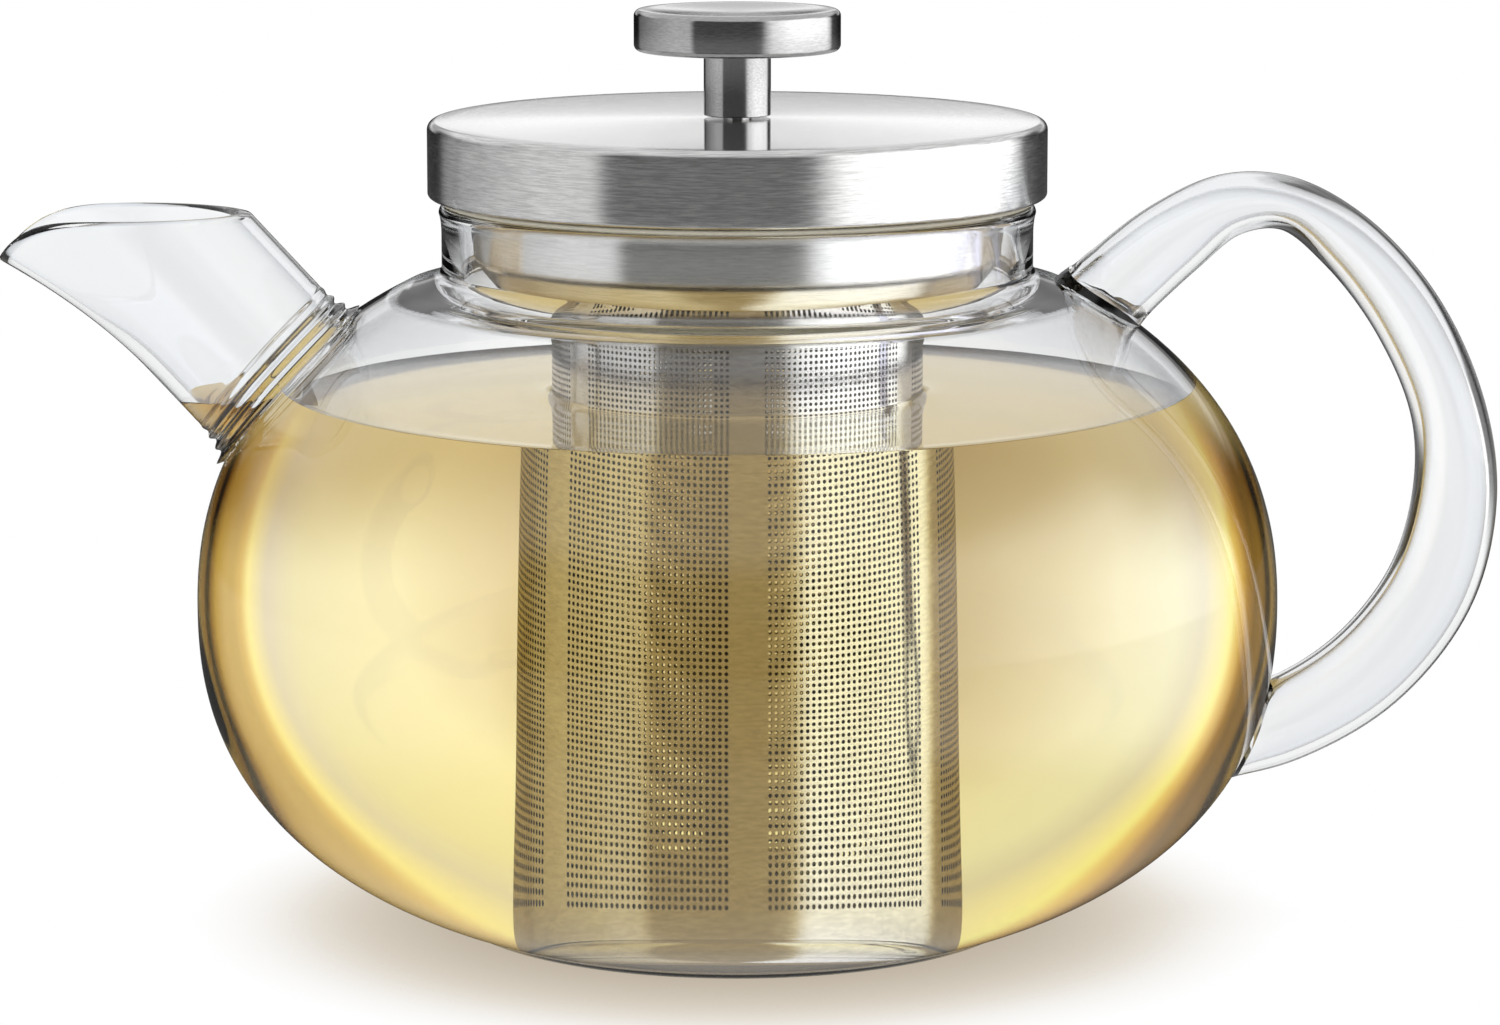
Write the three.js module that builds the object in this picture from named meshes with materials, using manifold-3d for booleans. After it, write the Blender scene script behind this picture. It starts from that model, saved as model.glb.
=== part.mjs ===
// Glass teapot with a lift-out steel infuser and a steel lid, in millimetres.
// The origin is on the pot's axis at its flat underside. +Z is up, the spout points to -X, the handle to +X.
import * as THREE from "three";
import { ParametricGeometry } from "three/addons/geometries/ParametricGeometry.js";
import { mergeVertices } from "three/addons/utils/BufferGeometryUtils.js";
import Module from "manifold-3d";

const wasm = await Module();
wasm.setup();

// ---- Driving dimensions ----

const GAP = 0.3; // clearance between pieces that touch
const SEGMENTS = 36; // facets round every turned piece

const BOWL = {
  radius: 84.4, // at its widest
  beltHeight: 50.3, // height of the widest line
  rise: 59.9, // half-height of the curve above the belt
  risePower: 2.21, // 2 is an ellipse, more is squarer
  drop: 55.1, // half-height of the curve below the belt, cut off by the flat base
  dropPower: 2.34,
  wall: 2.6,
  floor: 3.0, // thickness of the base
};
const NECK = { radius: 45.9, wall: 2.7, bottom: 102.2, top: 112.7, lip: 0.4 };
const SPOUT = {
  radius: 14.15,
  wall: 2.0,
  slope: THREE.MathUtils.degToRad(47.4), // above the horizontal
  axisX: -61.7, // where its centre line passes the height below
  axisZ: 75.0,
  mouth: 111.2, // height of the level rim
  lipDrop: 6.4, // how far the pouring lip dips below the rim
  lipReach: 7.4, // how far the lip is pulled out
  lipWidth: 0.62, // half-angle of the lip round the tube, in radians
};
const HANDLE = {
  wall: 1.6,
  girth: 13.8, // half the thickness plus half the width: the flattened stretch keeps the tube's girth
  // centre line from inside the shoulder to inside the bowl, as [x, z, thickness in its own plane]
  route: [
    [49.0, 90.4, 13.4],
    [57.0, 97.9, 13.4],
    [67.2, 106.8, 12.4],
    [76.2, 112.3, 9.8],
    [85.2, 112.6, 8.4],
    [94.6, 106.6, 10.0],
    [104.4, 94.9, 11.3],
    [111.0, 80.0, 11.8],
    [112.2, 66.0, 13.4],
    [108.6, 51.8, 14.4],
    [98.9, 39.0, 14.4],
    [85.6, 30.7, 13.6],
    [74.0, 27.6, 13.0],
  ],
};
const WELD = { height: 2.8, width: 2.2 };

const COLLAR = {
  radius: 41.0,
  sheet: 0.6,
  flange: 45.5,
  flangeTop: 114.7,
  shoulder: 104.4, // the wall is straight above this height and tapers below it
  footRadius: 37.0,
  foot: 97.2,
  spigotDepth: 3.6, // how far the joint with the basket reaches below the foot
};
const BASKET = { radius: 28.8, sheet: 0.5, top: 96.9, bottom: 10.0, round: 2.0, cupHeight: 3.2, cupInset: 5.0 };
const SEAL = { radius: 46.0, bore: 41.4, lipRadius: 42.8, lipDepth: 1.4, top: 113.7 };

const LID = { radius: 48.0, sheet: 1.0, bottom: 114.0, top: 126.0, round: 1.2, hem: 45.9, hemSheet: 0.7 };
const PLUG = { radius: 39.0, sheet: 0.6, bottom: 105.0, flange: 46.6 };
const LID_SEAL = { radius: 40.1, bottom: 106.2, height: 5.4, lips: 3, groove: 0.35 };
const KNOB = {
  radius: 16.0,
  top: 142.7,
  thickness: 6.4,
  round: 1.0,
  dish: 0.5,
  stem: 5.2,
  fillet: 0.9,
  bore: 2.3,
  boreDepth: 9.0,
};
const SCREW = { radius: 2.0, head: 3.6, headHeight: 2.4, length: 7.0, socket: 1.4, socketDepth: 1.3 };
const WASHER = { radius: 4.6, thickness: 0.8, bore: 2.3 };

// ---- Shape helpers ----

// Points on an arc about (r, z), in degrees, both ends included.
function arc(r, z, radius, from, to, steps = 3) {
  const points = [];
  for (let i = 0; i <= steps; i++) {
    const angle = THREE.MathUtils.degToRad(from + ((to - from) * i) / steps);
    points.push([r + radius * Math.cos(angle), z + radius * Math.sin(angle)]);
  }
  return points;
}

// A body turned about Z. Its outline runs up the outside and comes back down the inside or along the axis.
function turned(outline, segments = SEGMENTS) {
  const points = outline.map(([r, z]) => new THREE.Vector2(r, z));
  const onAxis = outline[0][0] === 0 && outline[outline.length - 1][0] === 0;
  if (!onAxis) points.push(points[0].clone());
  return new THREE.LatheGeometry(points, segments).rotateX(Math.PI / 2);
}

function toSolid(geometry) {
  const bare = geometry.clone();
  bare.deleteAttribute("normal");
  bare.deleteAttribute("uv");
  const merged = mergeVertices(bare, 1e-4);
  const vertProperties = merged.attributes.position.array;
  const triVerts = new Uint32Array(merged.index.array);
  return new wasm.Manifold(new wasm.Mesh({ numProp: 3, vertProperties, triVerts }));
}

function toGeometry(solid) {
  const { vertProperties, triVerts } = solid.getMesh();
  const geometry = new THREE.BufferGeometry();
  geometry.setAttribute("position", new THREE.BufferAttribute(vertProperties, 3));
  geometry.setIndex(new THREE.BufferAttribute(triVerts, 1));
  geometry.computeVertexNormals();
  return geometry;
}

// ---- Glass: bowl and neck ----

function bowlRadius(z) {
  const above = z > BOWL.beltHeight;
  const power = above ? BOWL.risePower : BOWL.dropPower;
  const reach = above ? BOWL.rise : BOWL.drop;
  const part = Math.abs(z - BOWL.beltHeight) / reach;
  return BOWL.radius * Math.max(1 - part ** power, 0) ** (1 / power);
}

// The bowl's outside curve moved outwards by `offset` along its normal, from low to high.
function bowlCurve(offset, low, high, steps) {
  const points = [];
  for (let i = 0; i <= steps; i++) {
    const z = low + ((high - low) * i) / steps;
    const slope = (bowlRadius(z + 0.01) - bowlRadius(z - 0.01)) / 0.02;
    const length = Math.hypot(1, slope);
    points.push([bowlRadius(z) + offset / length, z - (offset * slope) / length]);
  }
  return points;
}

const shoulderTop = 100.2; // where the shoulder's curve gives way to the neck's fillet

// The whole outside of the pot as a full solid, grown by `offset`.
function potOutside(offset) {
  const neck = NECK.radius + offset;
  return toSolid(
    turned([
      [0, -offset],
      ...bowlCurve(offset, 0.6, shoulderTop, 22),
      [neck, NECK.bottom],
      [neck, NECK.top],
      [0, NECK.top],
    ]),
  );
}

function glassBody() {
  const { radius, wall, bottom, top, lip } = NECK;
  const inner = radius - wall;
  const outline = [
    [0, 0],
    [bowlRadius(0.6) - 1.2, 0],
    ...bowlCurve(0, 0.6, shoulderTop, 18),
    [radius + 0.5, bottom - 1.4],
    [radius, bottom],
    [radius, top - 3.2],
    ...arc(radius + lip - 1.0, top - 1.0, 1.0, 0, 90, 2),
    ...arc(inner + 1.0, top - 1.0, 1.0, 90, 180, 2),
    [inner, bottom - 1.6],
    [inner + 0.8, bottom - 3.2],
    ...bowlCurve(-wall, 1.2, shoulderTop - 0.4, 16).reverse(),
    [0, BOWL.floor],
  ];
  return toSolid(turned(outline)).subtract(spoutRod(-SPOUT.wall));
}

// ---- Glass: spout ----

const spoutAlong = new THREE.Vector3(-Math.cos(SPOUT.slope), 0, Math.sin(SPOUT.slope));
const spoutUpper = new THREE.Vector3(Math.sin(SPOUT.slope), 0, Math.cos(SPOUT.slope));
const spoutCentre = new THREE.Vector3(SPOUT.axisX, 0, SPOUT.axisZ);

// A straight round rod on the spout's centre line, `offset` wider than the tube.
function spoutRod(offset) {
  const length = 44;
  const rod = new THREE.CylinderGeometry(SPOUT.radius + offset, SPOUT.radius + offset, length, 32);
  const turn = new THREE.Quaternion().setFromUnitVectors(new THREE.Vector3(0, 1, 0), spoutAlong);
  rod.applyQuaternion(turn);
  rod.translate(spoutCentre.x, spoutCentre.y, spoutCentre.z);
  return toSolid(rod);
}

// A point of the spout's wall. `along` runs from 0 inside the bowl to 1 at the rim, `angle` is 0 on the side
// towards the neck and pi on the pouring side, and `inset` is the depth below the outside.
function spoutPoint(along, angle, inset, target) {
  const fromLip = (angle - Math.PI) / SPOUT.lipWidth;
  const lip = Math.exp(-fromLip * fromLip);
  const reach = SPOUT.radius - inset;
  const upward = reach * Math.cos(angle) * spoutUpper.z;
  const rim = SPOUT.mouth - SPOUT.lipDrop * lip;
  const start = -14;
  const end = (rim - SPOUT.axisZ - upward) / spoutAlong.z;
  const pulled = Math.max(0, (along - 0.62) / 0.38) ** 2 * SPOUT.lipReach * lip;
  target.copy(spoutCentre);
  target.addScaledVector(spoutAlong, start + (end - start) * along);
  target.addScaledVector(spoutUpper, reach * Math.cos(angle));
  target.y = reach * Math.sin(angle);
  target.x -= pulled;
}

function glassSpout() {
  const outside = [0, 0.4, 0.64, 0.76, 0.86, 0.94];
  const inside = [...outside].reverse();
  const stations = [
    ...outside.map((along) => [along, 0]),
    [0.99, 0.1 * SPOUT.wall],
    [1, 0.5 * SPOUT.wall],
    [0.99, 0.9 * SPOUT.wall],
    ...inside.map((along) => [along, SPOUT.wall]),
  ];
  const wall = new ParametricGeometry(
    (u, v, target) => {
      const [along, inset] = stations[Math.round(v * stations.length) % stations.length];
      spoutPoint(along, 2 * Math.PI * u, inset, target);
    },
    28,
    stations.length,
  );
  return toSolid(wall).subtract(potOutside(GAP));
}

// ---- Glass: handle ----

// The centre line in x and z, with the handle's thickness in its own plane carried along as y.
const handleCurve = new THREE.CatmullRomCurve3(
  HANDLE.route.map(([x, z, thick]) => new THREE.Vector3(x, thick, z)),
  false,
  "centripetal",
);

// A point of the handle's surface, moved outwards by `offset`.
function handlePoint(along, angle, offset, target) {
  const tangent = handleCurve.getTangent(along).setY(0).normalize();
  handleCurve.getPoint(along, target);
  const across = target.y / 2 + offset;
  const sideways = HANDLE.girth - target.y / 2 + offset;
  target.x += across * Math.cos(angle) * tangent.z;
  target.z -= across * Math.cos(angle) * tangent.x;
  target.y = sideways * Math.sin(angle);
}

// The handle's outside as a full solid, grown by `offset`, with a pointed cap at each end.
function handleRod(offset) {
  const steps = 34;
  const rod = new ParametricGeometry(
    (u, v, target) => {
      const row = Math.round(v * (steps + 2));
      const along = THREE.MathUtils.clamp((row - 1) / steps, 0, 1);
      const isTip = row === 0 || row === steps + 2;
      if (isTip) handleCurve.getPoint(along, target).setY(0);
      else handlePoint(along, 2 * Math.PI * u, offset, target);
    },
    16,
    steps + 2,
  );
  return toSolid(rod);
}

function glassHandle() {
  const steps = 34;
  const rows = 2 * (steps + 1);
  const tube = new ParametricGeometry(
    (u, v, target) => {
      const row = Math.round(v * rows) % rows;
      const isOutside = row <= steps;
      const along = isOutside ? row / steps : (rows - 1 - row) / steps;
      handlePoint(along, 2 * Math.PI * u, isOutside ? 0 : -HANDLE.wall, target);
    },
    16,
    rows,
  );
  return toSolid(tube).subtract(potOutside(GAP));
}

// A bead of glass round the foot of a tube that is fused to the bowl. `tube` makes the tube's outside as a
// full solid, grown by what it is given.
function weldBead(tube) {
  return tube(WELD.width)
    .intersect(potOutside(WELD.height))
    .subtract(potOutside(GAP))
    .subtract(tube(GAP));
}

// The first of a solid's separate pieces whose middle height is wanted.
function pieceAt(solid, isWanted) {
  return solid.decompose().filter((piece) => {
    const box = piece.boundingBox();
    return isWanted((box.min[2] + box.max[2]) / 2);
  })[0];
}

// ---- Infuser ----

function neckSeal() {
  const rimTop = NECK.top + GAP;
  const edge = (SEAL.top - rimTop) / 2;
  return turned([
    [SEAL.bore, SEAL.top - 0.3],
    [SEAL.bore, rimTop - SEAL.lipDepth],
    [SEAL.lipRadius - 0.5, rimTop - SEAL.lipDepth],
    [SEAL.lipRadius, rimTop - SEAL.lipDepth + 0.5],
    [SEAL.lipRadius, rimTop],
    ...arc(SEAL.radius - edge, rimTop + edge, edge, -90, 90, 4),
    [SEAL.bore + 0.3, SEAL.top],
  ]);
}

function infuserCollar() {
  const { radius, sheet, flange, flangeTop, shoulder, footRadius, foot, spigotDepth } = COLLAR;
  const spigot = BASKET.radius - BASKET.sheet - GAP;
  return turned([
    [spigot - sheet, foot - spigotDepth],
    [spigot, foot - spigotDepth],
    [spigot, foot],
    ...arc(footRadius - 1.0, foot + 1.0, 1.0, -90, -30, 3),
    [radius, shoulder],
    [radius, flangeTop - sheet],
    [flange, flangeTop - sheet],
    [flange, flangeTop],
    [radius - 0.1, flangeTop],
    [radius - sheet, flangeTop - 0.5],
    [radius - sheet, shoulder + 0.1],
    ...arc(footRadius - 1.0, foot + 1.0, 1.0 - sheet, -30, -90, 2),
    [spigot - sheet, foot + sheet],
  ]);
}

function infuserBasket() {
  const { radius, sheet, top, bottom, cupHeight } = BASKET;
  const low = bottom + cupHeight + GAP;
  return turned([
    [radius - sheet, low],
    [radius, low],
    [radius, top],
    [radius - sheet, top],
  ]);
}

function infuserBottom() {
  const { radius, sheet, bottom, round, cupHeight, cupInset } = BASKET;
  const inner = radius - sheet - GAP;
  return turned([
    [0, bottom + 0.6],
    [radius - cupInset, bottom + 0.6],
    [radius - cupInset + 0.8, bottom],
    ...arc(radius - round, bottom + round, round, -90, 0, 3),
    [radius, bottom + cupHeight],
    [inner, bottom + cupHeight],
    [inner, bottom + cupHeight + 3.4],
    [inner - sheet, bottom + cupHeight + 3.4],
    ...arc(inner - sheet - 1.4, bottom + 2.6, 1.4, 0, -90, 2),
    [0, bottom + 1.2],
  ]);
}

// ---- Lid ----

function lidCap() {
  const { radius, sheet, bottom, top, round, hem, hemSheet } = LID;
  const hole = SCREW.radius + GAP;
  return turned([
    [hole, top - sheet],
    [radius - sheet - 0.4, top - sheet],
    [radius - sheet, top - sheet - 0.4],
    [radius - sheet, bottom + hemSheet],
    [hem, bottom + hemSheet],
    [hem, bottom],
    [radius - 0.5, bottom],
    [radius, bottom + 0.5],
    ...arc(radius - round, top - round, round, 0, 90, 4),
    [hole, top],
  ]);
}

function lidLiner() {
  const { radius, sheet, bottom, flange } = PLUG;
  const flangeBottom = LID.bottom + LID.hemSheet + GAP;
  return turned([
    [0, bottom],
    [radius - 1.2, bottom],
    [radius, bottom + 1.2],
    [radius, flangeBottom],
    [flange, flangeBottom],
    [flange, flangeBottom + sheet],
    [radius - sheet, flangeBottom + sheet],
    [radius - sheet, bottom + 1.4],
    [radius - 1.4, bottom + sheet],
    [0, bottom + sheet],
  ]);
}

function lidSeal() {
  const { radius, bottom, height, lips, groove } = LID_SEAL;
  const bore = PLUG.radius + GAP;
  const pitch = height / lips;
  const outline = [[bore, bottom]];
  for (let i = 0; i < lips; i++) {
    const foot = bottom + i * pitch;
    outline.push([radius - groove, foot + 0.1 * pitch]);
    outline.push([radius, foot + 0.4 * pitch]);
    outline.push([radius, foot + 0.6 * pitch]);
    outline.push([radius - groove, foot + 0.9 * pitch]);
  }
  outline.push([bore, bottom + height]);
  return turned(outline);
}

function knob() {
  const { radius, top, thickness, round, dish, stem, fillet, bore, boreDepth } = KNOB;
  const foot = LID.top + GAP;
  const under = top - thickness;
  return turned(
    [
      [0, foot + boreDepth],
      [bore, foot + boreDepth],
      [bore, foot],
      [stem - 0.2, foot],
      [stem, foot + 0.2],
      ...arc(stem + fillet, under - fillet, fillet, 180, 90, 3),
      ...arc(radius - round, under + round, round, -90, 0, 3),
      ...arc(radius - round, top - round, round, 0, 90, 3),
      [radius - 3.0, top - 0.2],
      [0, top - dish],
    ],
    40,
  );
}

function knobScrew() {
  const { radius, head, headHeight, length, socket, socketDepth } = SCREW;
  const seat = LID.top - LID.sheet - GAP - WASHER.thickness - GAP;
  return turned(
    [
      [0, seat - headHeight + socketDepth],
      [socket, seat - headHeight + socketDepth],
      [socket, seat - headHeight],
      [head - 0.4, seat - headHeight],
      [head, seat - headHeight + 0.4],
      [head, seat],
      [radius, seat],
      [radius, seat + length],
      [0, seat + length + 0.6],
    ],
    16,
  );
}

function screwWasher() {
  const top = LID.top - LID.sheet - GAP;
  const bottom = top - WASHER.thickness;
  return turned(
    [
      [WASHER.bore, bottom],
      [WASHER.radius, bottom],
      [WASHER.radius, top],
      [WASHER.bore, top],
    ],
    24,
  );
}

// ---- Assembly ----

const glass = { color: 0xf2f6f5, roughness: 0.03, metalness: 0 };
const silicone = { color: 0xe9e2cb, roughness: 0.5, metalness: 0 };
const brushedSteel = { color: 0xbdbcb8, roughness: 0.32, metalness: 1 };
const satinSteel = { color: 0xc9c6bd, roughness: 0.38, metalness: 1 };

const pot = new THREE.Group();

function addPiece(name, shape, finish) {
  const geometry = shape.isBufferGeometry ? shape : toGeometry(shape);
  const piece = new THREE.Mesh(geometry, new THREE.MeshStandardMaterial(finish));
  piece.name = name;
  pot.add(piece);
}

const handleBeads = weldBead(handleRod);

addPiece("glass_body", glassBody(), glass);
addPiece("glass_spout", glassSpout(), glass);
addPiece("spout_weld_ring", weldBead(spoutRod), glass);
addPiece("glass_handle", glassHandle(), glass);
addPiece("handle_upper_weld", pieceAt(handleBeads, (z) => z > BOWL.beltHeight), glass);
addPiece("handle_lower_weld", pieceAt(handleBeads, (z) => z < BOWL.beltHeight), glass);
addPiece("neck_seal", neckSeal(), silicone);
addPiece("infuser_collar", infuserCollar(), brushedSteel);
addPiece("infuser_basket", infuserBasket(), satinSteel);
addPiece("infuser_bottom", infuserBottom(), satinSteel);
addPiece("lid_cap", lidCap(), brushedSteel);
addPiece("lid_liner", lidLiner(), satinSteel);
addPiece("lid_seal", lidSeal(), silicone);
addPiece("knob", knob(), brushedSteel);
addPiece("knob_screw", knobScrew(), satinSteel);
addPiece("screw_washer", screwWasher(), satinSteel);

export default pot;
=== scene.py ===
"""Looks of the glass teapot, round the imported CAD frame.

Fused glass, tea, a perforated infuser and a spun steel lid.
"""
import functools
import math

import bpy
import numpy as np
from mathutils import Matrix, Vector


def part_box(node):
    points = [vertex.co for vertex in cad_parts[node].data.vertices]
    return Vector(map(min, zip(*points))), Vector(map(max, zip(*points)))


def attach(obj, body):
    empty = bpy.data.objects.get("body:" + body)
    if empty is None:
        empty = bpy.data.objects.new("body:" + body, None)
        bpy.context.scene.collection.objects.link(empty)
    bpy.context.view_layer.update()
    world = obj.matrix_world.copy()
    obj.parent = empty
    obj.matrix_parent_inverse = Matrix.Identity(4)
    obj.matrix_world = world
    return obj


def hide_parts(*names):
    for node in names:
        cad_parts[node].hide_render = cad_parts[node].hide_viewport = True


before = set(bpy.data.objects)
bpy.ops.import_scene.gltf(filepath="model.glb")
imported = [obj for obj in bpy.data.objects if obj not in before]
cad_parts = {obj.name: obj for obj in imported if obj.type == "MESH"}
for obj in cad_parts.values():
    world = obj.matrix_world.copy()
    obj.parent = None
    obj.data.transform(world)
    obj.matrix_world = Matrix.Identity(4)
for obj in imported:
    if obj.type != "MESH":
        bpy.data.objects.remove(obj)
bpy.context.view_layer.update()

# ---- Sizes, in millimetres, as in the CAD part ----

MM = 0.001
BOWL_RADIUS, BELT = 84.4, 50.3
RISE, RISE_POWER = 59.9, 2.21
DROP, DROP_POWER = 55.1, 2.34
WALL, FLOOR = 2.6, 1.8
NECK_RADIUS, NECK_WALL, NECK_BOTTOM, NECK_LIP = 45.9, 2.7, 102.2, 0.4
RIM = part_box("glass_body")[1].z / MM
SHOULDER_TOP = 100.2

SPOUT_RADIUS, SPOUT_WALL, SPOUT_SLOPE = 14.15, 2.0, math.radians(47.4)
SPOUT_CENTRE = np.array([-61.7, 0.0, 75.0])
SPOUT_MOUTH, LIP_DROP, LIP_REACH, LIP_WIDTH, LIP_HOOK = 111.2, 6.0, 6.9, 0.62, 0.8

HANDLE_WALL, HANDLE_GIRTH = 1.6, 13.8
HANDLE_ROUTE = [  # x, z, thickness in the handle's own plane
    (49.0, 90.4, 13.4), (57.0, 97.9, 13.4), (67.2, 106.8, 12.4), (76.2, 112.3, 9.8), (85.2, 112.6, 8.4),
    (94.6, 106.6, 10.0), (104.4, 94.9, 11.3), (111.0, 80.0, 11.8), (112.2, 66.0, 13.4), (108.6, 51.8, 14.4),
    (98.9, 39.0, 14.4), (85.6, 30.7, 13.6), (74.0, 27.6, 13.0),
]

BASKET_RADIUS, BASKET_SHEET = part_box("infuser_basket")[1].x / MM, 0.5
BASKET_LOW, BASKET_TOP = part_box("infuser_basket")[0].z / MM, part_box("infuser_basket")[1].z / MM
BARS, BAR_ANGLE, HOLE_COLUMNS, HOLE_ROWS, HOLE_RADIUS = 6, math.radians(10.0), 29, 88, 0.28
HOLES_LOW, HOLES_TOP = 16.4, 94.2
FIRST_BAR = math.radians(-90 + 3)

TEA_LEVEL, TEA_OVERLAP = 82.9, 0.15

# ---- Optics: refractive indices, and how many surfaces a ray has crossed ----

GLASS_INDEX, TEA_INDEX, SILICONE_INDEX = 1.47, 1.2, 1.41
TEA_TINT, TEA_DENSITY = (0.98, 0.90, 0.36, 1), 11.0
# The tea in the spout's root is a far darker, denser copy of the tea: painted shade under the spout.
ROOT_TEA_SHADE_TINT, ROOT_TEA_SHADE_DENSITY = (0.72, 0.55, 0.12, 1), 150.0
ANY_CROSSING, TEA_CROSSINGS, DEEP_CROSSINGS = 0.5, 5.5, 8.5
WHITE = (1, 1, 1, 1)

# ---- Camera, in metres, degrees and millimetres ----

CAMERA_PLACE, CAMERA_PITCH, CAMERA_LENS, CAMERA_SENSOR = (0.00196, -0.850, 0.2095), 9.72, 132.14, 36.0

# ---- Mesh helpers ----


def mesh_object(name, vertices, faces):
    """A new object from points in millimetres."""
    mesh = bpy.data.meshes.new(name)
    mesh.from_pydata([tuple(MM * float(c) for c in v) for v in vertices], [], faces)
    mesh.update()
    made = bpy.data.objects.new(name, mesh)
    bpy.context.scene.collection.objects.link(made)
    return made


def smooth(piece, angle=35.0):
    piece.data.polygons.foreach_set("use_smooth", [True] * len(piece.data.polygons))
    piece.data.set_sharp_from_angle(angle=math.radians(angle))
    return piece


def loop_rings(name, rings, is_closed):
    """Joins rings of equal length in order. A ring of one point is a pole.

    A closed one joins the last to the first.
    """
    vertices, starts = [], []
    for ring in rings:
        starts.append(len(vertices))
        vertices.extend(ring)
    faces = []
    pairs = list(zip(range(len(rings)), range(1, len(rings))))
    if is_closed:
        pairs.append((len(rings) - 1, 0))
    for i, j in pairs:
        count = max(len(rings[i]), len(rings[j]))
        for k in range(count):
            n = (k + 1) % count
            if len(rings[i]) == 1:
                faces.append((starts[i], starts[j] + n, starts[j] + k))
            elif len(rings[j]) == 1:
                faces.append((starts[i] + k, starts[i] + n, starts[j]))
            else:
                faces.append((starts[i] + k, starts[i] + n, starts[j] + n, starts[j] + k))
    return mesh_object(name, vertices, faces)


def lathe(name, outline, segments=160):
    """Turns an outline of (radius, height) about Z.

    It runs up the outside and back down the inside or the axis.
    """
    rings = []
    for r, z in outline:
        if r <= 1e-6:
            rings.append([(0.0, 0.0, z)])
            continue
        angles = [2 * math.pi * k / segments for k in range(segments)]
        rings.append([(r * math.cos(a), r * math.sin(a), z) for a in angles])
    on_axis = len(rings[0]) == 1 and len(rings[-1]) == 1
    return smooth(loop_rings(name, rings, not on_axis))


def arc(r, z, radius, start, end, steps=8):
    angles = [math.radians(start + (end - start) * i / steps) for i in range(steps + 1)]
    return [(r + radius * math.cos(a), z + radius * math.sin(a)) for a in angles]


def boolean(target, other, operation):
    """Joins, cuts or keeps the common part, and removes the other object."""
    modifier = target.modifiers.new(operation, "BOOLEAN")
    modifier.operation = operation
    modifier.solver = "MANIFOLD"
    modifier.object = other
    bpy.context.view_layer.update()
    graph = bpy.context.evaluated_depsgraph_get()
    result = bpy.data.meshes.new_from_object(target.evaluated_get(graph))
    target.modifiers.clear()
    target.data = result
    bpy.data.objects.remove(other)
    return target


# ---- Glass ----


def bowl_radius(z):
    above = z > BELT
    power = RISE_POWER if above else DROP_POWER
    part = abs(z - BELT) / (RISE if above else DROP)
    return BOWL_RADIUS * max(1 - part**power, 0) ** (1 / power)


def bowl_slope(z):
    return (bowl_radius(z + 0.01) - bowl_radius(z - 0.01)) / 0.02


def bowl_curve(offset, low, high, steps):
    points = []
    for i in range(steps + 1):
        z = low + (high - low) * i / steps
        slope = bowl_slope(z)
        length = math.hypot(1, slope)
        points.append((bowl_radius(z) + offset / length, z - offset * slope / length))
    return points


def above_bowl(x, y, z):
    """About how far a point is outside the bowl."""
    z = min(max(z, 1.0), SHOULDER_TOP)
    return (math.hypot(x, y) - bowl_radius(z)) / math.hypot(1, bowl_slope(z))


def fillet(start, corner, end, steps=8):
    """A smooth corner between two points, as a quadratic curve."""
    points = []
    for i in range(steps + 1):
        t = i / steps
        weights = ((1 - t) ** 2, 2 * t * (1 - t), t * t)
        points.append(tuple(sum(w * p[c] for w, p in zip(weights, (start, corner, end))) for c in (0, 1)))
    return points


def pot_outline(offset):
    """Outside of the bowl and neck, from the base to the rim."""
    neck = NECK_RADIUS + offset
    shoulder = bowl_curve(offset, 1.2, SHOULDER_TOP - 0.3, 84)
    base = fillet((shoulder[0][0] - 3.0, -offset), (shoulder[0][0] - 0.8, -offset), shoulder[0], 8)
    return [(0, -offset)] + base[:-1] + shoulder + fillet(
        shoulder[-1], (neck + 0.4, NECK_BOTTOM - 1.0), (neck, NECK_BOTTOM + 0.8), 10
    )[1:]


def cavity_outline(offset):
    """Inside of the bowl and neck, up past the rim."""
    inner = NECK_RADIUS - NECK_WALL + offset
    wall = bowl_curve(offset - WALL, 0.9, SHOULDER_TOP - 0.6, 72)
    floor = FLOOR - offset
    low = fillet((wall[0][0] - 5.0, floor), (wall[0][0] - 1.5, floor), wall[0], 6)
    neck = fillet(wall[-1], (inner + 0.2, NECK_BOTTOM - 4.2), (inner, NECK_BOTTOM - 1.0), 8)
    return [(0, floor)] + low[:-1] + wall + neck[1:]


SPOUT_ALONG = np.array([-math.cos(SPOUT_SLOPE), 0.0, math.sin(SPOUT_SLOPE)])
SPOUT_UPPER = np.array([math.sin(SPOUT_SLOPE), 0.0, math.cos(SPOUT_SLOPE)])


def spout_place(distance, angle, reach):
    """A point at a distance along the spout's centre line and a reach from it.

    Angle 0 is the side by the neck.
    """
    outward = SPOUT_UPPER * math.cos(angle) + np.array([0.0, math.sin(angle), 0.0])
    return SPOUT_CENTRE + SPOUT_ALONG * distance + outward * reach


@functools.cache
def spout_start(angle, reach, depth):
    """How far along the spout its wall leaves the bowl, at a depth inside the bowl's outer skin."""
    low, high = -10.0, 45.0
    for _ in range(40):
        middle = (low + high) / 2
        if above_bowl(*spout_place(middle, angle, reach)) < -depth:
            low = middle
        else:
            high = middle
    return low


def spout_point(distance, angle, inset, foot=0.0):
    """A point of the spout's wall, its rim cut level and its lip pulled out and hooked down."""
    lip = math.exp(-(((angle - math.pi) / LIP_WIDTH) ** 2))
    reach = SPOUT_RADIUS - inset
    rim = SPOUT_MOUTH - LIP_DROP * lip
    end = (rim - SPOUT_CENTRE[2] - reach * math.cos(angle) * SPOUT_UPPER[2]) / SPOUT_ALONG[2]
    distance = min(distance, end)
    point = spout_place(distance, angle, reach + foot)
    pulled = max(0.0, ((distance + 14) / (end + 14) - 0.62) / 0.38) ** 2 * lip
    return point - np.array([pulled * LIP_REACH, 0.0, pulled * LIP_HOOK]), end


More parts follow.
